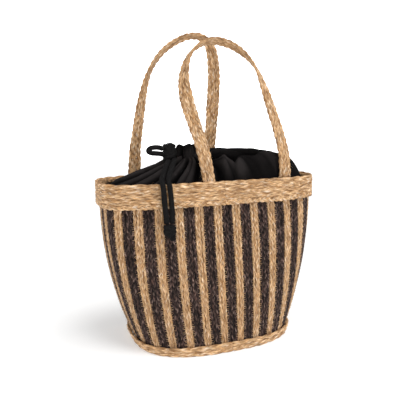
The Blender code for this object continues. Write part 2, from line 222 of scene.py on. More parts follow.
NATURAL = jute_material(
    "natural_jute_fibre",
    fibre_stops=((0.30, (0.25, 0.140, 0.070)), (0.45, (0.47, 0.290, 0.150)), (0.58, (0.66, 0.455, 0.27)),
                 (0.74, (0.82, 0.66, 0.49))),
    tint_stops=((0.30, (0.84, 0.76, 0.69)), (0.50, (1.0, 0.96, 0.92)), (0.72, (1.0, 0.86, 0.68))),
    worn_stops=((0.34, (0.80, 0.75, 0.67)), (0.48, (1.10, 1.09, 1.04)), (0.62, (1.28, 1.33, 1.36))),
    painted_crest_highlight=(0.93, 0.83, 0.70),
    crevice_painted_shade=((0.10, (0.24, 0.16, 0.10)), (0.40, (0.64, 0.55, 0.47)), (0.75, (1.0, 1.0, 1.0))),
    sheen=0.05, sheen_tint=(1.0, 0.9, 0.8), run=1.0)
DARK = jute_material(
    "dark_jute_fibre",
    fibre_stops=((0.32, (0.009, 0.006, 0.006)), (0.47, (0.030, 0.021, 0.019)), (0.59, (0.070, 0.051, 0.046)),
                 (0.74, (0.19, 0.148, 0.135))),
    tint_stops=((0.30, (0.60, 0.57, 0.58)), (0.52, (0.98, 0.90, 0.87)), (0.74, (1.30, 1.05, 0.92))),
    worn_stops=((0.38, (0.42, 0.40, 0.39)), (0.49, (0.98, 0.94, 0.91)), (0.60, (1.70, 1.58, 1.50))),
    painted_crest_highlight=(0.34, 0.265, 0.230),
    crevice_painted_shade=((0.16, (0.05, 0.045, 0.045)), (0.52, (0.24, 0.21, 0.21)), (0.88, (1.05, 1.0, 1.0))),
    sheen=0.01, sheen_tint=(0.8, 0.75, 0.72), run=0.9)


def cloth_material():
    """Black cotton: a fine plain weave, lint, a soft sheen at grazing angles, and painted shade and
    highlights on its folds.
    """
    nodes = Nodes("black_cotton_weave")
    place = nodes.add("ShaderNodeTexCoord")
    threads = []
    for turn in (0.0, 0.5 * pi):
        mapping = nodes.add("ShaderNodeMapping", Rotation=(0.0, 0.0, turn))
        nodes.link(place.outputs["Object"], mapping.inputs["Vector"])
        wave = nodes.add("ShaderNodeTexWave", wave_type="BANDS", Scale=420.0, Distortion=1.2, Detail=1.0)
        nodes.link(mapping.outputs["Vector"], wave.inputs["Vector"])
        threads.append(wave.outputs["Fac"])
    weave = nodes.mix("MIX", 0.5, threads[0], threads[1])
    lint = nodes.noise(place.outputs["Object"], 160.0, 4.0, 0.7)
    broad = nodes.noise(place.outputs["Object"], 14.0, 2.0, 0.5)
    base = nodes.ramp(broad, ((0.3, (0.0080, 0.0072, 0.0072)), (0.7, (0.0120, 0.0108, 0.0107))))
    shade = nodes.add("ShaderNodeAttribute", attribute_name="shade")
    # Painted light and shade: the shade attribute darkens the fold valleys and lightens the fold crests.
    painted_fold_light_and_shade = nodes.ramp(shade.outputs["Fac"], ((0.10, (0.15, 0.15, 0.16)), (0.50, (0.70, 0.68, 0.68)),
                                              (0.90, (2.30, 2.22, 2.20))))
    base = nodes.mix("MULTIPLY", 1.0, base, painted_fold_light_and_shade)
    specks = nodes.ramp(lint, ((0.68, (0.0, 0.0, 0.0)), (0.82, (0.006, 0.0055, 0.0055))))
    nodes.link(nodes.mix("ADD", 1.0, base, specks), nodes.shader.inputs["Base Color"])
    nodes.surface(Roughness=0.9, Specular_IOR_Level=0.03, Sheen_Weight=0.008, Sheen_Roughness=0.45)
    nodes.link(nodes.bump(weave, 0.35, 0.0002), nodes.shader.inputs["Normal"])
    return nodes.material


def cord_material():
    """Black cotton cord: braided yarn with a little fluff."""
    nodes = Nodes("black_cord_yarn")
    braid = nodes.add("ShaderNodeTexWave", wave_type="BANDS", bands_direction="DIAGONAL", Scale=1.4,
                      Distortion=0.5)
    nodes.link(nodes.scaled_uv(1.0, 0.9), braid.inputs["Vector"])
    fluff = nodes.noise(nodes.scaled_uv(9.0, 1.2), 1.0, 4.0, 0.7)
    colour = nodes.ramp(fluff, ((0.35, (0.006, 0.0057, 0.0057)), (0.75, (0.022, 0.021, 0.021))))
    nodes.link(colour, nodes.shader.inputs["Base Color"])
    nodes.surface(Roughness=0.9, Specular_IOR_Level=0.03, Sheen_Weight=0.008)
    yarn = nodes.bump(braid.outputs["Fac"], 0.6, 0.0004)
    nodes.link(nodes.bump(fluff, 0.4, 0.0002, yarn), nodes.shader.inputs["Normal"])
    return nodes.material


CLOTH = cloth_material()
CORD = cord_material()

# ---------------- mesh helpers

FLOOR_CLEARANCE = 0.0002


class Builder:
    """Collects tubes, hairs and surfaces, and makes one mesh object of them."""

    def __init__(self):
        self.points, self.quads, self.triangles, self.uvs, self.shades = [], [], [], [], []
        self.count = 0

    def grid(self, points, uv, around_closed=False, along_closed=False, shade=0.85):
        """A sheet of quads from points[row][column]; the columns may close into a ring."""
        rows, columns = points.shape[:2]
        index = np.arange(rows * columns).reshape(rows, columns) + self.count
        if along_closed:
            index = np.vstack((index, index[:1]))
        if around_closed:
            index = np.hstack((index, index[:, :1]))
        a, b, c, d = index[:-1, :-1], index[:-1, 1:], index[1:, 1:], index[1:, :-1]
        self.quads.append(np.stack((a, b, c, d), axis=-1).reshape(-1, 4))
        self.points.append(points.reshape(-1, 3))
        self.uvs.append(uv.reshape(-1, 2))
        self.shades.append(np.broadcast_to(shade, points.shape[:2]).reshape(-1))
        self.count += rows * columns
        return index

    def close_ends(self, index, sides):
        """Flat caps at both ends of a tube that grid made."""
        for end, order in ((index[0], -1), (index[-1], 1)):
            corners = end[:sides][::order]
            fan = [(corners[0], corners[i], corners[i + 1]) for i in range(1, sides - 1)]
            self.triangles.append(np.array(fan))

    def tube(self, centre, across, out, half_width, half_depth, sides=6, uv_start=(0.0, 0.0), rough=0.0,
             lift=None):
        """A closed tube along centre; across and out are the two unit directions of its section.

        lift, from -1 to 1, says how far the tube stands out of the weave. The shade of both its faces follows
        it. The material paints light from shade: 0 is deep between strands and gets painted shade, 1 is on a
        crest and gets a painted highlight.
        """
        n = len(centre)
        turn = np.linspace(0.0, 2.0 * pi, sides, endpoint=False)
        half_width = np.broadcast_to(half_width, (n,))
        half_depth = np.broadcast_to(half_depth, (n,))
        bulge = 1.0 + rough * smooth_noise((sides, n), 4.0).T if rough else np.ones((n, sides))
        ring = (across[:, None, :] * (np.cos(turn)[None, :] * half_width[:, None] * bulge)[..., None]
                + out[:, None, :] * (np.sin(turn)[None, :] * half_depth[:, None] * bulge)[..., None])
        uv = np.empty((n, sides, 2))
        uv[..., 0] = uv_start[0] + np.arange(sides) / sides
        uv[..., 1] = (uv_start[1] + 1000.0 * arc_lengths(centre))[:, None]
        shade = 0.85
        # Painted light: raised parts and the broad faces get a high shade, the edges and sunk parts a low
        # one.
        if lift is not None:
            side = np.sin(turn)[None, :]
            raised = lift[:, None] * np.tanh(3.0 * side + 0.5)
            shade = np.clip(0.55 + 0.30 * raised + 0.26 * np.abs(side), 0.0, 1.0)
        self.close_ends(self.grid(centre[:, None, :] + ring, uv, around_closed=True, shade=shade), sides)

    def make(self, name, material, body):
        """The object, riding on a body unless body is None. Nothing reaches below the floor."""
        points = np.concatenate(self.points)
        points[:, 2] = np.maximum(points[:, 2], FLOOR_CLEARANCE)
        uvs = np.concatenate(self.uvs)
        quads = np.concatenate(self.quads) if self.quads else np.zeros((0, 4), int)
        triangles = np.concatenate(self.triangles) if self.triangles else np.zeros((0, 3), int)
        loops = np.concatenate((quads.ravel(), triangles.ravel()))
        four, three = 4 * np.arange(len(quads)), 3 * np.arange(len(triangles))
        starts = np.concatenate((four, 4 * len(quads) + three))
        mesh = bpy.data.meshes.new(name)
        mesh.vertices.add(len(points))
        mesh.vertices.foreach_set("co", points.astype(np.float32).ravel())
        mesh.loops.add(len(loops))
        mesh.loops.foreach_set("vertex_index", loops.astype(np.int32))
        mesh.polygons.add(len(starts))
        mesh.polygons.foreach_set("loop_start", starts.astype(np.int32))
        mesh.polygons.foreach_set("use_smooth", np.ones(len(starts), bool))
        mesh.update(calc_edges=True)
        layer = mesh.uv_layers.new(name="strand")
        layer.data.foreach_set("uv", uvs[loops].astype(np.float32).ravel())
        shades = mesh.attributes.new("shade", "FLOAT", "POINT")
        shades.data.foreach_set("value", np.concatenate(self.shades).astype(np.float32))
        mesh.materials.append(material)
        item = bpy.data.objects.new(name, mesh)
        bpy.context.collection.objects.link(item)
        if body:
            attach(item, body)
        return item


def smooth_noise(shape, spacing):
    """Gentle random values of about -1 to 1, which change over about spacing samples of the last axis."""
    rows, length = (1, shape) if isinstance(shape, int) else shape
    knots = int(length / spacing) + 4
    values = RANDOM.uniform(-1.0, 1.0, (rows, knots))
    place = np.linspace(0.0, knots - 3.001, length) + 1.0
    low = place.astype(int)
    t = place - low
    t = t * t * (3.0 - 2.0 * t)
    result = values[:, low] * (1.0 - t) + values[:, low + 1] * t
    return result[0] if isinstance(shape, int) else result


def unit(vectors):
    return vectors / np.maximum(np.linalg.norm(vectors, axis=-1, keepdims=True), 1e-12)


def arc_lengths(points):
    return np.concatenate(([0.0], np.cumsum(np.linalg.norm(np.diff(points, axis=0), axis=1))))


def smooth_curve(route, stations):
    """Points spread evenly along a smooth curve through the route's points, as in part.py."""
    knots = np.array(route, dtype=float)
    padded = np.vstack((2 * knots[0] - knots[1], knots, 2 * knots[-1] - knots[-2]))
    dense = []
    for i in range(len(knots) - 1):
        a, b, c, d = padded[i:i + 4]
        for t in np.linspace(0.0, 1.0, 24, endpoint=False):
            dense.append(0.5 * (2 * b + (c - a) * t + (2 * a - 5 * b + 4 * c - d) * t ** 2
                                + (3 * b - a - 3 * c + d) * t ** 3))
    dense.append(knots[-1])
    dense = np.array(dense)
    along = arc_lengths(dense)
    targets = np.linspace(0.0, along[-1], stations)
    return np.stack([np.interp(targets, along, dense[:, k]) for k in range(dense.shape[1])], axis=1)


# ---------------- the wall's shape


def wall_shape(z):
    """Half length, half depth and squareness of the wall's outer outline at height z."""
    rise = z / HEIGHT
    swell = 1.0 - (1.0 - rise) ** END_SWELL
    half_length = BASE_HALF_LENGTH + (MOUTH_HALF_LENGTH - BASE_HALF_LENGTH) * swell
    half_depth = BASE_HALF_DEPTH + (MOUTH_HALF_DEPTH - BASE_HALF_DEPTH) * rise ** SIDE_LEAN
    return half_length, half_depth, BASE_SQUARENESS + (MOUTH_SQUARENESS - BASE_SQUARENESS) * rise


def wall_table(levels=76, spots=1440):
    """Points of the wall's outer face: a row per height, spread evenly by length from the front's centre."""
    heights = np.linspace(0.0, HEIGHT, levels)
    table = np.empty((levels, spots + 1, 2))
    turn = np.linspace(-0.5 * pi, 1.5 * pi, 5761)
    c, s = np.cos(turn), np.sin(turn)
    for row, z in enumerate(heights):
        half_length, half_depth, squareness = wall_shape(z)
        power = 2.0 / squareness
        x = half_length * np.sign(c) * np.abs(c) ** power
        y = half_depth * np.sign(s) * np.abs(s) ** power
        along = np.concatenate(([0.0], np.cumsum(np.hypot(np.diff(x), np.diff(y)))))
        even = np.linspace(0.0, along[-1], spots + 1)
        table[row, :, 0] = np.interp(even, along, x)
        table[row, :, 1] = np.interp(even, along, y)
    return heights, table


WALL_HEIGHTS, WALL_TABLE = wall_table()


def wall_face(share, z):
    """Points of the wall's outer face at shares of the way round and heights."""
    share, z = np.broadcast_arrays(np.asarray(share, float), np.asarray(z, float))
    spots = WALL_TABLE.shape[1] - 1
    column = (share % 1.0) * spots
    left = np.minimum(column.astype(int), spots - 1)
    u = (column - left)[..., None]
    row = np.clip(z / HEIGHT, 0.0, 1.0) * (len(WALL_HEIGHTS) - 1)
    low = np.minimum(row.astype(int), len(WALL_HEIGHTS) - 2)
    v = (row - low)[..., None]
    flat = ((WALL_TABLE[low, left] * (1 - u) + WALL_TABLE[low, left + 1] * u) * (1 - v)
            + (WALL_TABLE[low + 1, left] * (1 - u) + WALL_TABLE[low + 1, left + 1] * u) * v)
    return np.concatenate((flat, z[..., None]), axis=-1)


def wall_frame(share, z):
    """The face's points, and there the directions round the wall, up it and out of it, and the perimeter."""
    step = 0.0012
    face = wall_face(share, z)
    around = wall_face(np.asarray(share) + step, z) - wall_face(np.asarray(share) - step, z)
    perimeter = np.linalg.norm(around, axis=-1) / (2.0 * step)
    rise = np.clip(z, 0.002, HEIGHT - 0.002)
    upward = wall_face(share, rise + 0.002) - wall_face(share, rise - 0.002)
    around, upward = unit(around), unit(upward)
    return face, around, upward, unit(np.cross(around, upward)), perimeter


def dark_edges(index, z):
    rise = z / HEIGHT
    width = (DARK_SHARE_AT_BASE + (DARK_SHARE_AT_RIM - DARK_SHARE_AT_BASE) * rise) / STRIPE_PAIRS
    centre = FIRST_DARK_SHIFT + index / STRIPE_PAIRS
    return centre - 0.5 * width, centre + 0.5 * width


def natural_edges(index, z):
    return dark_edges(index, z)[1], dark_edges(index + 1, z)[0]


# ---------------- plaiting


def add_plait(builder, centre, across, out, width, thickness, beat, fullness=1.0, hairs=0, sides=6,
              per_beat=4, relief=1.0):
    """A flat three-strand plait along centre, with some loose hairs.

    beat is the length between the crossings, fullness widens the strands, and relief is how much they rise
    and sway as they cross.
    """
    along = arc_lengths(centre)
    total = along[-1]
    samples = max(8, int(total / beat * per_beat) + 1)
    even = np.linspace(0.0, total, samples)

    def spread(values):
        values = np.asarray(values)
        values = np.broadcast_to(values, (len(along),) + values.shape[1:])
        if values.ndim == 1:
            return np.interp(even, along, values)
        return np.stack([np.interp(even, along, values[:, k]) for k in range(values.shape[1])], axis=1)

    middle, sideways, outward = spread(centre), unit(spread(across)), unit(spread(out))
    width, thickness = spread(width), spread(thickness)
    pace = 1.0 + 0.05 * smooth_noise(samples, per_beat * 4.0)
    phase = RANDOM.uniform(0.0, 2.0 * pi) + 2.0 * pi * np.cumsum(pace) * (total / samples) / (3.0 * beat)
    slack = 1.0 + 0.07 * smooth_noise(samples, per_beat * 3.0)
    for strand in range(3):
        angle = phase + strand * 2.0 * pi / 3.0
        strand_half = 0.205 * width * fullness * (1.0 + 0.16 * smooth_noise(samples, per_beat * 1.5))
        strand_deep = 0.25 * thickness * (2.0 - relief)
        sway = (0.21 + 0.08 * relief) * width * slack
        rise = np.sin(2.0 * angle)
        swing = sway * np.sin(angle) + 0.03 * width * smooth_noise(samples, per_beat)
        path = middle + sideways * swing[:, None] + outward * (0.27 * thickness * relief * rise)[:, None]
        ahead = unit(np.gradient(path, axis=0))
        out_here = unit(outward - ahead * np.sum(outward * ahead, axis=1, keepdims=True))
        side_here = np.cross(ahead, out_here)
        builder.tube(path, side_here, out_here, strand_half, strand_deep, sides=sides, rough=0.14,
                     lift=rise * relief,
                     uv_start=(10.0 * RANDOM.integers(1, 4000), RANDOM.uniform(0.0, 400.0)))
    if hairs:
        add_hairs(builder, middle, sideways, outward, width, thickness, hairs)


def add_hairs(builder, middle, sideways, outward, width, thickness, number):
    """Loose fibres that leave the plait's face at a low angle and curl away."""
    steps = np.linspace(0.0, 1.0, 5)[:, None]
    for _ in range(number):
        spot = RANDOM.integers(1, len(middle) - 1)
        side = RANDOM.uniform(-1.0, 1.0)
        ahead = unit(middle[spot + 1] - middle[spot - 1]) * RANDOM.choice((-1.0, 1.0))
        root = middle[spot] + 0.42 * side * width[spot] * sideways[spot]
        root = root + 0.32 * thickness[spot] * outward[spot]
        length = RANDOM.uniform(0.0035, 0.0095)
        aim = unit(ahead * RANDOM.uniform(0.3, 1.0) + sideways[spot] * side * RANDOM.uniform(0.1, 1.0)
                   + outward[spot] * RANDOM.uniform(0.12, 0.5))
        curl = sideways[spot] * RANDOM.uniform(-0.5, 0.5) + outward[spot] * RANDOM.uniform(-0.45, 0.15)
        path = root + length * (aim * steps + curl * steps ** 2)
        sharp = 0.00013 * (1.0 - 0.75 * steps[:, 0])
        forward = unit(np.gradient(path, axis=0))
        side_here = unit(np.cross(forward, outward[spot]))
        builder.tube(path, side_here, np.cross(side_here, forward), sharp, sharp, sides=3,
                     uv_start=(10.0 * RANDOM.integers(1, 4000), 0.0))


PLAITS_PER_STRIPE = 3
WALL_STATIONS = 90
WALL_BEAT = 0.0100
ROW_BEAT = 0.0240
LOWEST_RIM_ROW_BEAT = 0.0100
HANDLE_BEAT = 0.0120

# How much wider each plait is drawn than its pitch, so that neighbours close up.
WALL_OVERLAP = 1.15
ROW_OVERLAP = 1.24
COIL_OVERLAP = 1.10
HANDLE_OVERLAP = 1.22


def wall_plait(builder, edges_of, index, part, low, high, hairs):
    """One of the upright plaits of a stripe."""
    z = np.linspace(low, high, WALL_STATIONS)
    edges = [edges_of(index, height) for height in z]
    start, end = np.array([edge[0] for edge in edges]), np.array([edge[1] for edge in edges])
    middle = start + (end - start) * (part + 0.5) / PLAITS_PER_STRIPE
    face, around, upward, out, perimeter = wall_frame(middle, z)
    wander = 0.00055 * smooth_noise(WALL_STATIONS, 9.0)
    width = (end - start) * perimeter / PLAITS_PER_STRIPE
    sink = 0.5 * PLAIT_THICKNESS + 0.00025 * smooth_noise(WALL_STATIONS, 10.0)
    centre = face - out * sink[:, None] + around * wander[:, None]
    add_plait(builder, centre, around, out, width * WALL_OVERLAP, PLAIT_THICKNESS, WALL_BEAT, hairs=hairs,
              per_beat=5, fullness=1.20, relief=0.55)


def crossing_plait(builder, edges_of, index, z):
    """The short run where a plait crosses to its next stripe, hidden behind a band."""
    start, end = edges_of(index, z)[1], edges_of(index + 1, z)[0]
    share = np.linspace(start, end, 12)
    face, around, upward, out, perimeter = wall_frame(share, np.full(12, z))
    add_plait(builder, face - out * 0.5 * PLAIT_THICKNESS, upward, out, 0.0080, PLAIT_THICKNESS, WALL_BEAT)


def make_wall():
    crossing = 0.0085
    for pair in range(STRIPE_PAIRS // 2):
        for kind, edges_of, material, on_top in (("dark", dark_edges, DARK, False),
                                                 ("natural", natural_edges, NATURAL, True)):
            builder = Builder()
            low = crossing + GAP if on_top else 0.0015
            high = HEIGHT - 0.0012 if on_top else HEIGHT - crossing - 0.0015
            for stripe in (2 * pair, 2 * pair + 1):
                for part in range(PLAITS_PER_STRIPE):
                    wall_plait(builder, edges_of, stripe, part, low, high, 12 if on_top else 7)
            crossing_plait(builder, edges_of, 2 * pair, HEIGHT - 0.0053 if on_top else 0.0048)
            node = f"wall_{kind}_{pair + 1:02d}"
            item = builder.make(node + "_plaits", material, "basket")
            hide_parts(node)


def make_edge_stitches():
    """Short natural fibres that catch the edge of each dark stripe and sew the plaits together."""
    builder = Builder()
    steps = np.linspace(0.0, 1.0, 6)
    for index in range(STRIPE_PAIRS):
        for side in (0, 1):
            z = 0.020
            while z < 0.256:
                low_down = 1.0 - z / HEIGHT
                if RANDOM.uniform() < 0.45 + 0.5 * low_down:
                    edge = dark_edges(index, z)[side]
                    inward = 1.0 if side == 0 else -1.0
                    reach = RANDOM.uniform(0.0016, 0.0030) + 0.0018 * low_down * RANDOM.uniform(0.3, 1.0)
                    slant = RANDOM.uniform(-0.0022, 0.0016)
                    face, around, upward, out, perimeter = wall_frame(edge, z)
                    start = face - around * inward * 0.0016 - out * 0.0006
                    arch = 0.0013 * np.sin(pi * np.minimum(steps * 1.05, 1.0)) - 0.0003 * steps
                    path = (start + around * inward * ((0.0016 + reach) * steps)[:, None]
                            + upward * (slant * steps ** 1.5)[:, None]
                            + out * arch[:, None])
                    forward = unit(np.gradient(path, axis=0))
                    side_here = unit(np.cross(forward, out))
                    thick = RANDOM.uniform(0.00028, 0.00048) * (1.0 - 0.45 * steps)
                    builder.tube(path, side_here, np.cross(side_here, forward), thick, thick, sides=4,
                                 uv_start=(10.0 * RANDOM.integers(1, 4000), RANDOM.uniform(0.0, 50.0)))
                z += RANDOM.uniform(0.0026, 0.0046)
    item = builder.make("stripe_edge_stitches", NATURAL, "basket")


def ring_row(builder, low, beat):
    """One plaited row round the outside of the wall, from height low up."""
    stations = 420
    share = np.linspace(0.0, 1.0, stations)
    z = np.full(stations, low + 0.5 * ROW_HEIGHT)
    face, around, upward, out, perimeter = wall_frame(share, z)
    drift = smooth_noise(stations, 26.0)
    drift = drift * np.minimum(1.0, np.minimum(share, 1.0 - share) * 30.0)
    centre = face + out * (ROW_CLEARANCE + 0.5 * ROW_THICKNESS) + upward * (0.0004 * drift)[:, None]
    add_plait(builder, centre, upward, out, ROW_HEIGHT * ROW_OVERLAP, ROW_THICKNESS * 1.02, beat, hairs=150,
              per_beat=9, sides=8, fullness=1.22, relief=0.50)


def make_rows():
    for kind, rows, bottom in (("rim", RIM_ROWS, HEIGHT - RIM_ROWS * ROW_HEIGHT), ("base", BASE_ROWS, 0.0)):
        for row in range(rows):
            beat = LOWEST_RIM_ROW_BEAT if kind == "rim" and row == 0 else ROW_BEAT
            builder = Builder()
            ring_row(builder, bottom + row * ROW_HEIGHT, beat)
            item = builder.make(f"{kind}_row_{row + 1}_plait", NATURAL, "basket")
            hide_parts(f"{kind}_row_{row + 1}")


def make_base_coil():
    """The floor: one plait wound round and round in an oval spiral."""
    builder = Builder()
    turns = 11
    half_length = BASE_HALF_LENGTH - PLAIT_THICKNESS - 0.0005
    half_depth = BASE_HALF_DEPTH - PLAIT_THICKNESS - 0.0005
    pitch = half_depth / turns
    stations = 200 * turns
    t = np.linspace(0.0, turns, stations)
    shrink = np.minimum(t, turns - 0.42) * pitch + 0.5 * pitch
    angle = 2.0 * pi * t
    power = 2.0 / (2.0 + 0.7 * (1.0 - t / turns))
    a, b = np.maximum(half_length - shrink, 0.001), np.maximum(half_depth - shrink, 0.001)
    x = a * np.sign(np.cos(angle)) * np.abs(np.cos(angle)) ** power
    y = b * np.sign(np.sin(angle)) * np.abs(np.sin(angle)) ** power
    centre = np.stack((x, y, np.full(stations, 0.00285)), axis=1)
    ahead = unit(np.gradient(centre, axis=0))
    down = np.tile((0.0, 0.0, -1.0), (stations, 1))
    add_plait(builder, centre, np.cross(down, ahead), down, pitch * COIL_OVERLAP, PLAIT_THICKNESS, ROW_BEAT,
              per_beat=5)
    item = builder.make("base_coil_plait", NATURAL, "basket")
    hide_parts("base_coil")


# ---------------- handles

FRONT_HANDLE_ROUTE = (
    (-0.024, 0.000, 0), (-0.032, 0.050, 0), (-0.045, 0.095, 4), (-0.058, 0.140, 28), (-0.061, 0.180, 66),
    (-0.048, 0.217, 92), (-0.016, 0.240, 103), (0.020, 0.240, 100), (0.055, 0.223, 84), (0.080, 0.196, 58),
    (0.095, 0.160, 33), (0.107, 0.124, 20), (0.121, 0.080, 13), (0.130, 0.036, 5), (0.130, 0.000, 0),
)
BACK_HANDLE_ROUTE = (
    (-0.127, 0.000, 0), (-0.1268, 0.018, 0), (-0.1255, 0.050, -17), (-0.120, 0.092, -28),
    (-0.112, 0.145, -42), (-0.100, 0.188, -60), (-0.078, 0.223, -60), (-0.048, 0.246, -60),
    (-0.018, 0.257, -67), (0.006, 0.253, -70), (0.021, 0.236, -62),
    (0.0285, 0.200, -45), (0.030, 0.155, -25), (0.0285, 0.100, -5), (0.026, 0.045, 0), (0.026, 0.000, 0),
)
FRONT_HANDLE_LEAN = 8.0
BACK_HANDLE_LEAN = 5.0
HANDLE_END_LENGTH = 0.056
HANDLE_END_DEPTH = PLAIT_THICKNESS + HANDLE_END_CLEARANCE + 0.5 * HANDLE_PLAIT_THICKNESS
HANDLE_END_STATIONS = 24


def front_depth(x, z):
    """How far the wall's outer face is from the middle plane."""
    half_length, half_depth, squareness = wall_shape(z)
    return half_depth * (1.0 - np.abs(x / half_length) ** squareness) ** (1.0 / squareness)


def handle_line(side, route, lean):
    """The strap's centre line, from one sewn end over the top to the other, and its two directions across."""
    tilt = radians(lean)
    up = np.array((0.0, -side * sin(tilt), cos(tilt)))
    across = np.array((0.0, -side * cos(tilt), -sin(tilt)))
    scaled = [(x, h, 0.01 * radians(twist)) for x, h, twist in route]
    stations = smooth_curve(scaled, 240)
    steps = np.gradient(stations[:, :2], axis=0)
    steps /= np.linalg.norm(steps, axis=1, keepdims=True)
    twist = 100.0 * stations[:, 2:3]
    level = np.array((1.0, 0.0, 0.0))
    sideways = -level * steps[:, 1:] + up * steps[:, :1]
    forward = level * steps[:, :1] + up * steps[:, 1:]
    broad = sideways * np.cos(twist) - side * across * np.sin(twist)
    foot_middle = np.array((0.0, side * HINGE_DEPTH, HINGE_HEIGHT))
    centre = foot_middle + level * stations[:, :1] + up * stations[:, 1:2]
    thin = unit(np.cross(forward, broad))
    ends = []
    for foot in (0, -1):
        x = np.full(HANDLE_END_STATIONS, route[foot][0])
        z = np.linspace(HEIGHT - HANDLE_END_LENGTH, HEIGHT - 0.001, HANDLE_END_STATIONS)
        leg = np.stack((x, side * (front_depth(x, z) - HANDLE_END_DEPTH), z), axis=1)
        if foot:
            leg = leg[::-1]
        ends.append((leg, np.tile(broad[foot], (len(x), 1)), np.tile(thin[foot], (len(x), 1))))
    centre = np.concatenate((ends[0][0], centre, ends[1][0]))
    broad = np.concatenate((ends[0][1], broad, ends[1][1]))
    thin = np.concatenate((ends[0][2], thin, ends[1][2]))
    return centre, broad, thin


def make_handle(name, side, route, lean):
    centre, broad, thin = handle_line(side, route, lean)
    for plait in range(3):
        builder = Builder()
        line = centre + broad * (plait - 1) * HANDLE_PLAIT_PITCH
        add_plait(builder, line, broad, thin, HANDLE_PLAIT_PITCH * HANDLE_OVERLAP, HANDLE_PLAIT_THICKNESS,
                  HANDLE_BEAT, hairs=110, per_beat=6, sides=8, fullness=1.24, relief=0.55)
        item = builder.make(f"{name}_plait_{plait + 1}_woven", NATURAL, None)
        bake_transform(item)
        ends = (f"{name}_end_left", f"{name}_end_right") if plait == 1 else ()
        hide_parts(f"{name}_plait_{plait + 1}", *ends)


# ---------------- cloth and cords

NECK_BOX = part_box("closure_neck")
NECK_CENTRE = 0.5 * (np.array(NECK_BOX[0]) + np.array(NECK_BOX[1])) * np.array((1.0, 1.0, 0.0))
NECK_RADIUS = 0.5 * (NECK_BOX[1][0] - NECK_BOX[0][0])
NECK_LOW, NECK_HIGH = NECK_BOX[0][2], NECK_BOX[1][2]
SKIRT_LOW = JOINTS["closure_lift"]["deforming_nodes"][0]["fixed_end_z_m"]
LINING_TOP_OFFSET = 0.0130
SKIRT_TOP = 0.3340
SKIRT_FULL_RISE = 0.016
SKIRT_BRINK = 0.043
SKIRT_BRINK_STEEPNESS = 14.0
SKIRT_PUFF = 0.005
SKIRT_SLACK_STEEPNESS = 1.05
SKIRT_FULL_STEEPNESS = 1.9

TAIL_DIAMETER = 0.0083
LOOP_DIAMETER = 0.0092
LOOP_ROUTE = (
    (-0.0915, -0.0135, 0.3550), (-0.1010, -0.0160, 0.3582), (-0.1110, -0.0175, 0.3586),
    (-0.1190, -0.0185, 0.3567), (-0.1215, -0.0195, 0.3528), (-0.1165, -0.0200, 0.3493),
    (-0.1050, -0.0190, 0.3480), (-0.0915, -0.0155, 0.3462),
)
TAIL_LEFT_ROUTE = (
    (-0.0845, -0.0220, 0.3360), (-0.0930, -0.0340, 0.3295), (-0.1030, -0.0500, 0.3170),
    (-0.1110, -0.0640, 0.3082), (-0.1145, -0.0745, 0.3042), (-0.1148, -0.0815, 0.2985),
    (-0.1145, -0.0838, 0.2890), (-0.1140, -0.0858, 0.2740), (-0.1130, -0.0878, 0.2560),
    (-0.1118, -0.0888, 0.2435), (-0.1110, -0.0891, 0.2355),
)
TAIL_RIGHT_ROUTE = (
    (-0.0745, -0.0240, 0.3385), (-0.0815, -0.0370, 0.3320), (-0.0930, -0.0530, 0.3185),
    (-0.1005, -0.0660, 0.3087), (-0.1032, -0.0755, 0.3045), (-0.1034, -0.0825, 0.2985),
    (-0.1030, -0.0846, 0.2890), (-0.1022, -0.0865, 0.2740), (-0.1018, -0.0885, 0.2560),
    (-0.1024, -0.0893, 0.2435), (-0.1028, -0.0896, 0.2355),
)


def rope(builder, path, diameter, sides=20, flatness=0.0, creases=0.10):
    """A closed cotton cord along path, soft and creased lengthwise, and a little flattened."""
    ahead = unit(np.gradient(path, axis=0))
    out = np.empty_like(path)
    out[0] = unit(np.cross(ahead[0], (0.93, -0.37, 0.05)))
    for i in range(1, len(path)):
        out[i] = unit(out[i - 1] - ahead[i] * np.dot(out[i - 1], ahead[i]))
    side = np.cross(ahead, out)
    along = arc_lengths(path)
    turn = np.linspace(0.0, 2.0 * pi, sides, endpoint=False)
    drift = RANDOM.uniform(0.0, 6.0)
    wander = 18.0 * along[:, None]
    first = turn[None, :] - 1.3 - drift - 0.5 * np.sin(wander)
    second = turn[None, :] + 1.6 - drift + 0.4 * np.sin(1.7 * wander)
    crease = (np.exp(-((np.cos(first) - 1.0) / 0.05) ** 2)
              + 0.7 * np.exp(-((np.cos(second) - 1.0) / 0.05) ** 2))
    bumps = np.sin(2.0 * turn[None, :] + 60.0 * along[:, None] + drift)
    lumps = 0.05 * bumps * np.sin(95.0 * along[:, None] + drift)
    radius = 0.5 * diameter * (1.0 - creases * crease + lumps)
    ends = np.sqrt(np.clip(np.minimum(along, along[-1] - along) / (0.35 * diameter), 0.02, 1.0))
    radius = radius * ends[:, None]
    ring = (side[:, None, :] * (np.cos(turn) * radius * (1.0 + flatness))[..., None]
            + out[:, None, :] * (np.sin(turn) * radius * (1.0 - flatness))[..., None])
    uv = np.empty(radius.shape + (2,))
    uv[..., 0] = 6.0 * turn / (2.0 * pi)
    uv[..., 1] = along[:, None] * 1000.0
    builder.close_ends(builder.grid(path[:, None, :] + ring, uv, around_closed=True), sides)


def make_cord(name, route, diameter, flatness):
    path = smooth_curve(route, 120)
    builder = Builder()
    rope(builder, path, diameter, flatness=flatness)
    item = builder.make(name + "_rope", CORD, "closure")
    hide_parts(name)


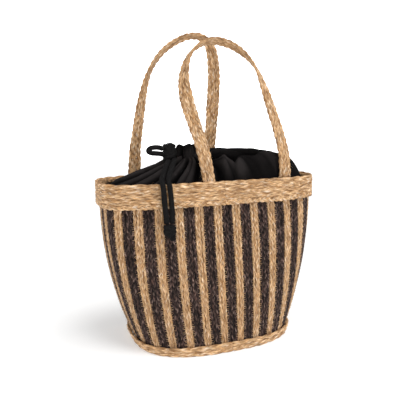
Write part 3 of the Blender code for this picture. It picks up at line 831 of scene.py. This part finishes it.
def lump(builder, centre, radii, dents):
    """A closed, dented ball of folded cord and cloth."""
    sides = 60
    turn_grid, rise_grid = np.meshgrid(np.linspace(0.0, 2.0 * pi, sides, endpoint=False),
                                       np.linspace(0.03, pi - 0.03, 34))
    bulge = 1.0 + 0.09 * np.sin(3.0 * turn_grid + 2.0 * rise_grid + dents)
    bulge += 0.06 * np.sin(5.0 * rise_grid - dents)
    bulge -= 0.10 * np.exp(-((np.sin(turn_grid + 1.6 * rise_grid + dents)) / 0.16) ** 2)
    ball = np.stack((np.sin(rise_grid) * np.cos(turn_grid), np.sin(rise_grid) * np.sin(turn_grid),
                     np.cos(rise_grid)), axis=-1) * bulge[..., None] * radii
    uv = np.stack((turn_grid * 2.0, rise_grid * 6.0), axis=-1)
    builder.close_ends(builder.grid(centre + ball, uv, around_closed=True), sides)


def make_knot(name, turns, core, dents, shift):
    """A knot: a soft core with cords wound over it, filling the CAD solid's space."""
    low, high = (np.array(corner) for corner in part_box(name))
    centre, radii = 0.5 * (low + high) + shift, 0.5 * (high - low)
    builder = Builder()
    lump(builder, centre, radii * core, dents)
    for path, thick in turns(centre, radii):
        rope(builder, path, thick, sides=16)
    item = builder.make(name + "_tied", CORD, "closure")
    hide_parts(name)
    return item


def neck_knot_turns(centre, radii):
    """A bow's knot: wraps that lean across one another round the core."""
    angle = np.linspace(0.0, 2.0 * pi, 90)
    wraps = []
    for lean, shift, thick in ((0.35, -0.10, 0.0080), (-0.75, 0.12, 0.0074), (1.25, 0.0, 0.0070)):
        x = 0.78 * radii[0] * np.cos(angle)
        y = (radii[1] - 0.0030) * np.sin(angle)
        z = radii[2] * (0.30 * np.sin(angle + lean) + 0.55 * np.cos(angle) * np.sin(lean) + shift)
        wraps.append((centre + np.stack((x, y, z), axis=1), thick))
    tip = np.linspace(0.0, 1.0, 24)
    stub = np.stack((-0.1 * radii[0] - 0.35 * radii[0] * tip, np.full(24, -0.2) * radii[1],
                     radii[2] * (0.45 + 0.40 * tip)), axis=1)
    wraps.append((centre + stub, 0.0065))
    return wraps


def end_knot_turns(centre, radii):
    """An overhand knot in the two tails together, with their short ends below it."""
    angle = np.linspace(0.0, 2.0 * pi, 90)
    pieces = []
    for lean, thick in ((0.5, 0.0074), (-0.9, 0.0070)):
        x = 0.76 * radii[0] * np.cos(angle)
        y = (radii[1] - 0.0022) * np.sin(angle)
        z = 0.45 * radii[2] * np.cos(angle) * np.sin(lean) + 0.22 * radii[2]
        pieces.append((centre + np.stack((x, y, z), axis=1), thick))
    for shift, lean in ((0.05, 0.35), (0.45, 0.20)):
        drop = np.stack((np.linspace(shift, shift + lean, 30) * radii[0], np.full(30, -0.1) * radii[1],
                         np.linspace(0.1, -1.50, 30) * radii[2]), axis=1)
        pieces.append((centre + drop, 0.0062))
    return pieces


def closure_surface(share, climb):
    """Smooth surface of the closure, as in part.py: climb runs from 0 at the rim to 1 at the neck."""
    rim, around, upward, out, perimeter = wall_frame(share, np.full_like(share, SKIRT_LOW))
    flat_out = unit(out * np.array((1.0, 1.0, 0.0)))
    rim = rim - flat_out * LINING_TOP_OFFSET
    turn = 2.0 * pi * share - 0.5 * pi
    ray = np.stack((np.cos(turn), np.sin(turn), np.zeros_like(turn)), axis=-1)
    neck = NECK_CENTRE + ray * (NECK_RADIUS + GAP + CLOTH_THICKNESS)
    fullness = (rim[..., 0] + MOUTH_HALF_LENGTH) / (2.0 * MOUTH_HALF_LENGTH)
    swelling = np.clip((fullness - 0.30) / 0.65, 0.0, 1.0) ** 1.5
    brink = SKIRT_BRINK * swelling
    rise = SKIRT_TOP + SKIRT_FULL_RISE * swelling - SKIRT_LOW - brink
    power = SKIRT_SLACK_STEEPNESS + SKIRT_FULL_STEEPNESS * fullness
    height = SKIRT_LOW + brink * (1.0 - (1.0 - climb) ** SKIRT_BRINK_STEEPNESS)
    height += rise * (1.0 - (1.0 - climb) ** power) + SKIRT_PUFF * fullness * np.sin(pi * climb)
    spot = rim + (neck - rim) * climb[..., None]
    spot[..., 2] = height
    return spot, swelling


CLOTH_AROUND = 460
CLOTH_CLIMB = 96
CLOTH_SHOWN_THICKNESS = 0.0008

# Each sunken fold is a line on the plan, its depth and its width. Each puff is a place, a size and a height.
TROUGHS = (
    (((-0.022, -0.022), (0.010, -0.029), (0.050, -0.031), (0.070, -0.030)), 0.0200, 0.0065),
    (((0.070, -0.030), (0.095, -0.027), (0.125, -0.020)), 0.0130, 0.0080),
    (((0.026, -0.030), (0.034, -0.044), (0.030, -0.062)), 0.0090, 0.0040),
    (((-0.012, -0.030), (0.000, -0.046), (-0.004, -0.062)), 0.0090, 0.0045),
    (((0.040, 0.004), (0.090, 0.012), (0.140, 0.006)), 0.0040, 0.0070),
    (((-0.020, 0.022), (0.040, 0.030), (0.100, 0.024)), 0.0140, 0.0085),
    (((0.110, -0.026), (0.150, -0.032), (0.185, -0.036)), 0.0080, 0.0060),
    (((0.150, 0.000), (0.195, -0.010)), 0.0070, 0.0050),
    (((0.000, 0.030), (0.016, 0.055)), 0.0080, 0.0050),
)
PUFFS = (
    ((0.100, -0.044), (0.040, 0.010), 0.0090),
    ((0.045, -0.047), (0.012, 0.010), 0.0050),
    ((0.014, -0.044), (0.006, 0.016), 0.0080),
    ((0.060, 0.046), (0.050, 0.011), 0.0060),
    ((0.165, 0.005), (0.014, 0.030), 0.0030),
)


def away_from_line(x, y, line):
    """Distance from points to a broken line."""
    nearest = np.full(x.shape, 9.0)
    for (x1, y1), (x2, y2) in zip(line[:-1], line[1:]):
        dx, dy = x2 - x1, y2 - y1
        t = np.clip(((x - x1) * dx + (y - y1) * dy) / (dx * dx + dy * dy), 0.0, 1.0)
        nearest = np.minimum(nearest, np.hypot(x - x1 - t * dx, y - y1 - t * dy))
    return nearest


def fold_height(share, climb, swelling):
    """Height of the gathers that fan out from the neck: rounded crests and sharp valleys."""
    turn = 2.0 * pi * (share + 0.065 * (1.0 - climb))
    bend = 0.5 * np.sin(3.0 * climb + 2.0 * turn) + 0.35 * np.sin(6.0 * climb - 3.0 * turn)
    broad = np.abs(np.cos(0.5 * (15.0 * turn + 2.4 * np.sin(2.0 * turn + 0.7) + bend))) ** 0.8
    narrow = np.abs(np.cos(0.5 * (31.0 * turn + 3.0 * np.sin(3.0 * turn) + 1.5 * bend))) ** 0.9
    fine = np.abs(np.cos(0.5 * (64.0 * turn + 3.0 * np.sin(5.0 * turn))))
    taut = 1.0 - swelling
    broad_depth = (0.0150 * taut + 0.0024 * swelling) * (0.55 + 0.45 * climb) * np.minimum(1.0, 8.0 * climb)
    narrow_depth = (0.0060 * taut + 0.0012 * swelling) * np.minimum(1.0, 8.0 * climb) + 0.0030 * climb ** 4
    fine_depth = 0.0010 * np.exp(-climb * 7.0) + 0.0014 * climb ** 6
    return broad_depth * (broad - 0.62) + narrow_depth * (narrow - 0.62) + fine_depth * (fine - 0.6)


def make_closure():
    """The cloth from the rim to the gathered neck, with its gathers, puffs and sunken folds."""
    share = np.linspace(0.0, 1.0, CLOTH_AROUND, endpoint=False)
    climb = np.linspace(0.0, 1.0, CLOTH_CLIMB)
    share_grid, climb_grid = np.meshgrid(share, climb)
    top, swelling = closure_surface(share_grid, climb_grid)
    fade = np.minimum(1.0, 8.0 * climb_grid) * np.minimum(1.0, 6.0 * (1.0 - climb_grid))
    folds = fold_height(share_grid, climb_grid, swelling)
    lift = folds.copy()
    x, y = top[..., 0], top[..., 1]
    for line, depth, width in TROUGHS:
        away = away_from_line(x + 0.004 * np.sin(70.0 * y), y + 0.002 * np.sin(90.0 * x), line) / width
        lift -= depth * fade * np.exp(-0.9 * away ** 1.5)
    for (px, py), (wide, deep), height in PUFFS:
        lift += height * fade * np.exp(-((x - px) / wide) ** 2 - ((y - py) / deep) ** 2)
    crumple = smooth_noise((CLOTH_CLIMB, CLOTH_AROUND), 13.0)
    kernel = np.hanning(13)[:, None] / np.hanning(13).sum()
    crumple = sum(np.roll(crumple, k - 6, axis=0) * kernel[k] for k in range(13))
    lift = lift + 0.0012 * fade * crumple
    top[..., 2] += lift
    # Painted light and shade: fold valleys and sunken folds darker, crests and puffs lighter, the full end a
    # little darker.
    shade = np.clip(0.46 - 0.06 * swelling + 110.0 * folds + 26.0 * (lift - folds), 0.0, 1.0)
    across = np.roll(top, -1, axis=1) - np.roll(top, 1, axis=1)
    normal = unit(np.cross(across, np.gradient(top, axis=0)))
    under = top - normal * CLOTH_SHOWN_THICKNESS
    uv = np.stack((share_grid * 90.0, climb_grid * 15.0), axis=-1)
    builder = Builder()
    builder.grid(np.concatenate((top, under[::-1])), np.concatenate((uv, uv[::-1])), around_closed=True,
                 along_closed=True, shade=np.concatenate((shade, shade[::-1])))
    item = builder.make("closure_skirt_cloth", CLOTH, None)
    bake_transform(item)
    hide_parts("closure_skirt")
    return item


NECK_LOBES = 5.0


def make_neck():
    """The casing, gathered tight: a ring of fat soft pleats that roll over at the top and tuck in below."""
    around_count, rise_count = 300, 44
    turn = np.linspace(0.0, 2.0 * pi, around_count, endpoint=False)
    rise = np.linspace(0.0, 1.0, rise_count)
    turn_grid, rise_grid = np.meshgrid(turn, rise)
    lobe = np.abs(np.cos(0.5 * NECK_LOBES * turn_grid + 0.55 + 0.5 * np.sin(2.0 * turn_grid)
                         + 0.25 * np.sin(pi * rise_grid)))
    profile = np.sin(pi * (0.10 + 0.84 * rise_grid)) ** 0.55
    crease = 0.035 * np.sin(23.0 * turn_grid + 2.0 * np.sin(2.0 * turn_grid)) * np.sin(pi * rise_grid)
    radius = (NECK_RADIUS + 0.0052) * (0.48 + 0.56 * lobe ** 0.6 * profile + crease)
    height = NECK_LOW - 0.0075 + (NECK_HIGH - NECK_LOW + 0.0085) * rise_grid
    height = height - 0.0035 * (1.0 - lobe) * rise_grid + 0.0012 * np.sin(2.0 * turn_grid + 1.0) * rise_grid
    middle_x, middle_y = NECK_CENTRE[:2]
    outer = np.stack((middle_x + radius * np.cos(turn_grid), middle_y + radius * np.sin(turn_grid), height),
                     axis=-1)
    sink = np.linspace(0.0, 1.0, 14)[1:, None]
    inner_radius = radius[-1][None, :] * (1.0 - 0.97 * sink)
    dip = height[-1][None, :] + 0.0012 * np.sin(pi * sink) - 0.007 * sink
    inner = np.stack((middle_x + inner_radius * np.cos(turn), middle_y + inner_radius * np.sin(turn), dip),
                     axis=-1)
    rings = np.concatenate((outer, inner))
    uv = np.stack(np.meshgrid(turn * 6.0, np.arange(len(rings)) * 0.6), axis=-1)
    builder = Builder()
    # Painted light and shade: the pleats lighter where they bulge most, the creases between them, their ends
    # and the tucked-in top darker.
    shade = np.concatenate((0.12 + 0.62 * lobe ** 0.8 * profile, np.full(inner_radius.shape, 0.15)))
    index = builder.grid(rings, uv, around_closed=True, shade=shade)
    builder.close_ends(index, around_count)
    item = builder.make("closure_neck_ruffle", CLOTH, "closure")
    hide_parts("closure_neck")


def dress_lining():
    """The lining is hidden, and its CAD shape is right: it only gets the cloth."""
    node = frame["nodes"]["lining_bag"]
    for place in node.material_slots:
        place.material = CLOTH


# ---------------- stage

WALL_RADIUS = 4.0
WALL_TOP = 1.5

# Each soft sun's name, the direction it shines from, the angle it spans in degrees, and its strength.
SUNS = (("key", (0.25, -0.45, 1.5), 25.0, 2.1), ("fill", (-0.10, -1.0, 0.12), 60.0, 0.90))


def make_stage():
    floor_mesh = bpy.data.meshes.new("floor")
    floor_mesh.from_pydata([(-6, -6, 0), (6, -6, 0), (6, 6, 0), (-6, 6, 0)], [], [(0, 1, 2, 3)])
    floor = bpy.data.objects.new("floor", floor_mesh)
    bpy.context.collection.objects.link(floor)
    nodes = Nodes("pale_floor")
    nodes.surface(Base_Color=(0.60, 0.60, 0.60, 1.0), Roughness=0.9, Specular_IOR_Level=0.1,
                  Emission_Color=(1.0, 1.0, 1.0, 1.0), Emission_Strength=0.40)
    floor_mesh.materials.append(nodes.material)

    sides = 48
    turns = [2.0 * pi * i / sides for i in range(sides)]
    corners = [(WALL_RADIUS * cos(turn), WALL_RADIUS * sin(turn)) for turn in turns]
    wall_mesh = bpy.data.meshes.new("studio_wall")
    wall_mesh.from_pydata([(x, y, z) for z in (0.0, WALL_TOP) for x, y in corners], [],
                          [(i, (i + 1) % sides, sides + (i + 1) % sides, sides + i) for i in range(sides)])
    wall = bpy.data.objects.new("studio_wall", wall_mesh)
    bpy.context.collection.objects.link(wall)
    pale = Nodes("pale_wall")
    pale.surface(Base_Color=(0.9, 0.9, 0.9, 1.0), Emission_Color=(1.0, 1.0, 1.0, 1.0), Emission_Strength=1.0)
    wall_mesh.materials.append(pale.material)

    world = bpy.data.worlds.new("studio")
    bpy.context.scene.world = world
    world.use_nodes = True
    background = world.node_tree.nodes["Background"]
    background.inputs["Color"].default_value = (1.0, 1.0, 1.0, 1.0)
    background.inputs["Strength"].default_value = 0.30

    for name, place, softness, strength in SUNS:
        light = bpy.data.lights.new(name, "SUN")
        light.angle = radians(softness)
        light.energy = strength
        holder = bpy.data.objects.new(name, light)
        bpy.context.collection.objects.link(holder)
        holder.location = place
        holder.rotation_euler = (-Vector(place)).to_track_quat("-Z", "Y").to_euler()
    bpy.context.scene.view_settings.view_transform = "Standard"


# ---------------- make

neck_knot = make_knot("drawstring_knot", neck_knot_turns, (1.15, 1.0, 0.98), 0.4, (-0.0015, 0.0, 0.0))
end_knot = make_knot("drawstring_end_knot", end_knot_turns, 0.98, 2.1, (0.0, 0.0, 0.0))
make_cord("drawstring_loop", LOOP_ROUTE, LOOP_DIAMETER, 0.0)
make_cord("drawstring_tail_left", TAIL_LEFT_ROUTE, TAIL_DIAMETER, 0.14)
make_cord("drawstring_tail_right", TAIL_RIGHT_ROUTE, TAIL_DIAMETER, 0.14)
skirt = make_closure()
make_neck()
dress_lining()
make_base_coil()
make_wall()
make_edge_stitches()
make_rows()
make_handle("front_handle", -1.0, FRONT_HANDLE_ROUTE, FRONT_HANDLE_LEAN)
make_handle("back_handle", 1.0, BACK_HANDLE_ROUTE, BACK_HANDLE_LEAN)
make_stage()
